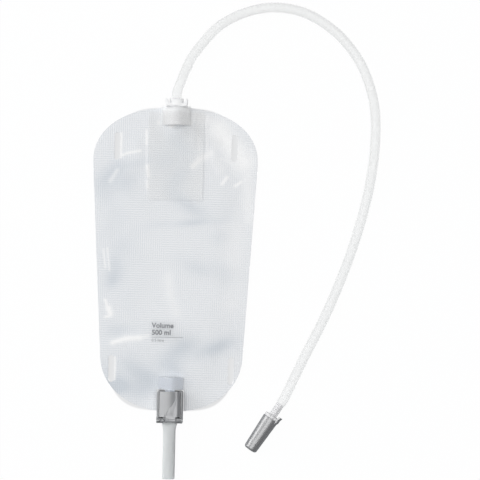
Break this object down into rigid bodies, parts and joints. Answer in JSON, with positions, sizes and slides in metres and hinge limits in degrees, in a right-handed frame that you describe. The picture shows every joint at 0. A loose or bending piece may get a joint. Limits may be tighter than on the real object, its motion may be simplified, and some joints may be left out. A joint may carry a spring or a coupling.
{
  "type": "urine drainage bag",
  "caption": "Flat 500 ml leg bag of welded film with a nonwoven back, strap slots, inlet valve, corrugated tube with capped connector, and an outlet tube with a lever clamp",
  "frame": {"origin": "middle of the panel's back face, on the surface that the bag lies on", "axes": "+Y points from the outlet to the inlet along the panel, +Z points out of the front film, +X is to the right when the inlet points up"},
  "size_m": [0.2323, 0.3868, 0.0135],
  "materials": {
    "nonwoven_backing": "matte",
    "matt_film": "matte",
    "valve_film": "satin",
    "port_plastic": "satin",
    "soft_tube": "satin",
    "clamp_grey": "satin",
    "lever_grey": "satin",
    "corrugated_tube": "satin",
    "connector_plastic": "satin",
    "cap_grey": "satin"
  },
  "bodies": {
    "bag": {"backing_sheet": "nonwoven_backing", "back_film": "matt_film", "front_film": "matt_film", "valve_back_flap": "valve_film", "valve_front_flap": "valve_film", "inlet_port": "port_plastic", "outlet_port": "port_plastic", "outlet_tube": "soft_tube", "clamp_body": "clamp_grey", "drainage_tube": "corrugated_tube", "connector": "connector_plastic"},
    "lever": {"clamp_lever": "lever_grey"},
    "cap": {"connector_cap": "cap_grey"}
  },
  "joints": [
    {"name": "lever_hinge", "type": "hinge", "parent": "bag", "child": "lever", "pos_m": [0, -0.12965, 0.0109], "axis": [1, 0, 0], "range_deg": [0, 110]},
    {"name": "cap_pull", "type": "slide", "parent": "bag", "child": "cap", "axis": [-0.5446, -0.8387, 0], "range_m": [0, 0.035]}
  ]
}
